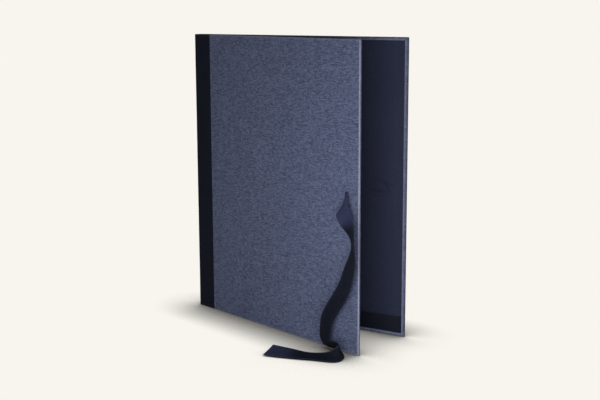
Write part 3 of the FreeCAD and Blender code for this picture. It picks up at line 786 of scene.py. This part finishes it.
def woven(
    name, dark, light, pale, pitch, drift, contrast, rough, sheen, relief,
    wear_and_light_amount=0.5, uneven=0.16, gloss=0.04, stretch=(1, 1), solid=False,
):
    """A woven finish: weave, yarn colours, wear and painted light, and bump on one Principled BSDF."""
    material = bpy.data.materials.new(name)
    material.use_nodes = True
    tree = material.node_tree
    shader = tree.nodes["Principled BSDF"]
    threads = add(tree, "ShaderNodeGroup", node_tree=weave)
    tree.links.new(place_on_cloth(tree, stretch, solid), threads.inputs["Cloth"])
    threads.inputs["Pitch mm"].default_value = pitch
    threads.inputs["Drift"].default_value = drift
    tone = sums(tree, "MULTIPLY_ADD", sums(tree, "SUBTRACT", threads.outputs["Tone"], 0.5), contrast, 0.5)
    deep = sums(tree, "MULTIPLY_ADD", sums(tree, "SUBTRACT", threads.outputs["Height"], 0.6), 0.5, tone)
    clamp = add(tree, "ShaderNodeClamp", {0: deep})
    yarn = add(tree, "ShaderNodeMix", {0: clamp.outputs[0], 6: colour(*dark), 7: colour(*light)}, data_type="RGBA")
    wear_and_painted_light = add(tree, "ShaderNodeGroup", node_tree=wear_and_light_nodes)
    tree.links.new(yarn.outputs[2], wear_and_painted_light.inputs["Color"])
    wear_and_painted_light.inputs["Pale"].default_value = colour(*pale)
    wear_and_painted_light.inputs["Amount"].default_value = wear_and_light_amount
    wear_and_painted_light.inputs["Uneven"].default_value = uneven
    bump = add(tree, "ShaderNodeBump", {"Strength": relief, "Distance": pitch / 3000, "Height": threads.outputs["Height"]})
    tree.links.new(wear_and_painted_light.outputs[0], shader.inputs["Base Color"])
    tree.links.new(bump.outputs[0], shader.inputs["Normal"])
    shader.inputs["Roughness"].default_value = rough
    shader.inputs["Specular IOR Level"].default_value = gloss
    shader.inputs["Sheen Weight"].default_value = sheen
    shader.inputs["Sheen Roughness"].default_value = 0.5
    return material


def fibrous(name, dark, light, painted_crease_shade, fineness, length, relief, uneven):
    """Paper or pulp board: speckle times fibres, both noise, the fibres drawn out along the height."""
    material = bpy.data.materials.new(name)
    material.use_nodes = True
    tree = material.node_tree
    shader = tree.nodes["Principled BSDF"]
    here = add(tree, "ShaderNodeTexCoord").outputs["Object"]
    drawn = add(tree, "ShaderNodeMapping", {"Vector": here, "Scale": (1, 1, 1 / length)}).outputs[0]
    speckle = add(tree, "ShaderNodeTexNoise", {"Vector": here, "Scale": 2 * fineness, "Detail": 4.0})
    fibre = add(tree, "ShaderNodeTexNoise", {"Vector": drawn, "Scale": fineness, "Distortion": 1.5})
    pulp = sums(tree, "MULTIPLY", speckle.outputs[0], fibre.outputs[0])
    tone = add(tree, "ShaderNodeMix", {6: colour(*dark), 7: colour(*light)}, data_type="RGBA")
    tree.links.new(sums(tree, "MULTIPLY", pulp, 2.0), tone.inputs[0])
    wear_and_painted_light = add(tree, "ShaderNodeGroup", node_tree=wear_and_light_nodes)
    tree.links.new(tone.outputs[2], wear_and_painted_light.inputs["Color"])
    # the edge attribute mixes this darker colour in: painted shade in the lining's creases
    wear_and_painted_light.inputs["Pale"].default_value = colour(*painted_crease_shade)
    wear_and_painted_light.inputs["Amount"].default_value, wear_and_painted_light.inputs["Uneven"].default_value = 0.4, uneven
    bump = add(tree, "ShaderNodeBump", {"Strength": relief, "Distance": 0.0001, "Height": pulp})
    tree.links.new(wear_and_painted_light.outputs[0], shader.inputs["Base Color"])
    tree.links.new(bump.outputs[0], shader.inputs["Normal"])
    shader.inputs["Roughness"].default_value = 0.9
    shader.inputs["Specular IOR Level"].default_value = 0.03
    return material


# the canvas's third colour is the pale of edge wear and of the painted highlight at the fore-edge and the turned-in
# margin
CANVAS = ((45, 50, 73), (100, 110, 140), (158, 162, 182), 1.05, 0.22, 3.5, 0.9, 0.03, 1.0, 0.75, 0.14)
BOOKCLOTH = ((14, 16, 24), (26, 29, 42), (46, 48, 60), 0.45, 0.12, 1.5, 0.85, 0.01, 0.4, 0.35, 0.16, 0.02)
# the ribbon's third colour is the painted highlight on its fold and tail
RIBBON = ((8, 9, 15), (24, 27, 39), (47, 53, 80), 0.5, 0.1, 2.2, 0.5, 0.0, 0.6, 0.9, 0.2, 0.02, (0.5, 1.4))
finishes = {
    "blue_canvas": woven("Blue canvas", *CANVAS),
    "black_bookcloth": woven("Black bookcloth", *BOOKCLOTH),
    # the lining's third colour is painted shade in its creases
    "navy_lining": fibrous("Dark blue lining", (32, 36, 53), (47, 51, 70), (20, 23, 34), 900.0, 4.0, 0.3, 0.16),
    "navy_ribbon": woven("Ribbon", *RIBBON),
}
solid_finishes = {
    "greyboard": fibrous("Greyboard", (84, 80, 74), (150, 144, 134), (70, 66, 60), 700.0, 5.0, 0.4, 0.2),
    "navy_ribbon": woven("Ribbon in its slit", *RIBBON, solid=True),
}
print("finishes:", [m.name for m in (*finishes.values(), *solid_finishes.values())])


def give_finish(thing, finish):
    thing.data.materials.clear()
    thing.data.materials.append(finish)


slot_of = {r["node"]: r["material_slot"] for r in frame["record"]["subparts"]}
for name, thing in frame["nodes"].items():
    if not thing.hide_render:
        give_finish(thing, solid_finishes[slot_of[name]])
for thing in bpy.context.scene.objects:
    if "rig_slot" in thing:
        give_finish(thing, finishes[thing["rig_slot"]])

# %% [markdown]
# ## Table, light and backdrop
# A plain pale table and an even pale backdrop, as in a catalogue picture. The backdrop is the
# world's colour, seen by the camera only, and the table fades into it away from the folder. One
# large lamp on the right gives the covers their slow change of tone, and the world fills the rest.

# %% Light
BACKDROP = colour(248, 245, 238)


def seen_rays(tree):
    """1 on the rays that show a background: straight from the camera, mirrored or through glass."""
    path = add(tree, "ShaderNodeLightPath")
    shown = sums(tree, "MAXIMUM", path.outputs["Is Camera Ray"], path.outputs["Is Glossy Ray"])
    return sums(tree, "MAXIMUM", shown, path.outputs["Is Transmission Ray"])


world = bpy.data.worlds.new("Studio")
bpy.context.scene.world = world
world.use_nodes = True
tree = world.node_tree
tree.nodes.clear()
fill = add(tree, "ShaderNodeBackground", {"Color": (1.0, 0.98, 0.95, 1), "Strength": 0.13})
seen = add(tree, "ShaderNodeBackground", {"Color": BACKDROP, "Strength": 1.0})
both = add(tree, "ShaderNodeMixShader", {0: seen_rays(tree), 1: fill.outputs[0], 2: seen.outputs[0]})
tree.links.new(both.outputs[0], add(tree, "ShaderNodeOutputWorld").inputs["Surface"])


def lamp(name, place, target, size, watts, tint=(1.0, 0.985, 0.97)):
    """A square area lamp at a place, turned towards a target, both in metres."""
    data = bpy.data.lights.new(name, "AREA")
    data.size, data.energy, data.color = size, watts, tint
    thing = bpy.data.objects.new(name, data)
    bpy.context.scene.collection.objects.link(thing)
    thing.location = place
    thing.rotation_euler = (Vector(target) - Vector(place)).to_track_quat("-Z", "Y").to_euler()


lamp("Key", (0.32, -0.38, 0.15), (0.05, -0.02, 0.15), 0.3, 2.1)
lamp("Overhead", (0.1, -0.15, 1.1), (0.05, -0.05, 0), 0.9, 2.4)
lamp("Behind", (-0.75, 0.8, 0.5), (-0.05, 0, 0.15), 0.8, 9.0)

# %% The table
bpy.ops.mesh.primitive_plane_add(size=16, location=(0, 0, 0))
table = bpy.context.object
table.name = "Table"
material = bpy.data.materials.new("Table")
material.use_nodes = True
tree = material.node_tree
tree.nodes.clear()
# painted shadow: the camera sees the backdrop colour darkened by ambient occlusion near the folder
near = add(tree, "ShaderNodeAmbientOcclusion", {"Color": BACKDROP, "Distance": 0.06}, samples=8)
shade = sums(tree, "POWER", near.outputs["AO"], 2.8)
tone = add(tree, "ShaderNodeVectorMath", {0: BACKDROP[:3], "Scale": shade}, operation="SCALE")
shown = add(tree, "ShaderNodeEmission", {"Color": tone.outputs[0], "Strength": 1.0})
pale = add(tree, "ShaderNodeBsdfDiffuse", {"Color": BACKDROP})
mix = add(tree, "ShaderNodeMixShader", {0: seen_rays(tree), 1: pale.outputs[0], 2: shown.outputs[0]})
tree.links.new(mix.outputs[0], add(tree, "ShaderNodeOutputMaterial").inputs["Surface"])
table.data.materials.append(material)

# %% [markdown]
# ## Finish
# The picture is judged with plain colours, so the view transform is Standard. The last line notes
# the size of the imported model.

# %% View transform and the model's size
bpy.context.scene.view_settings.view_transform = "Standard"
print("cad box:", np.round(cad_box, 4).tolist())
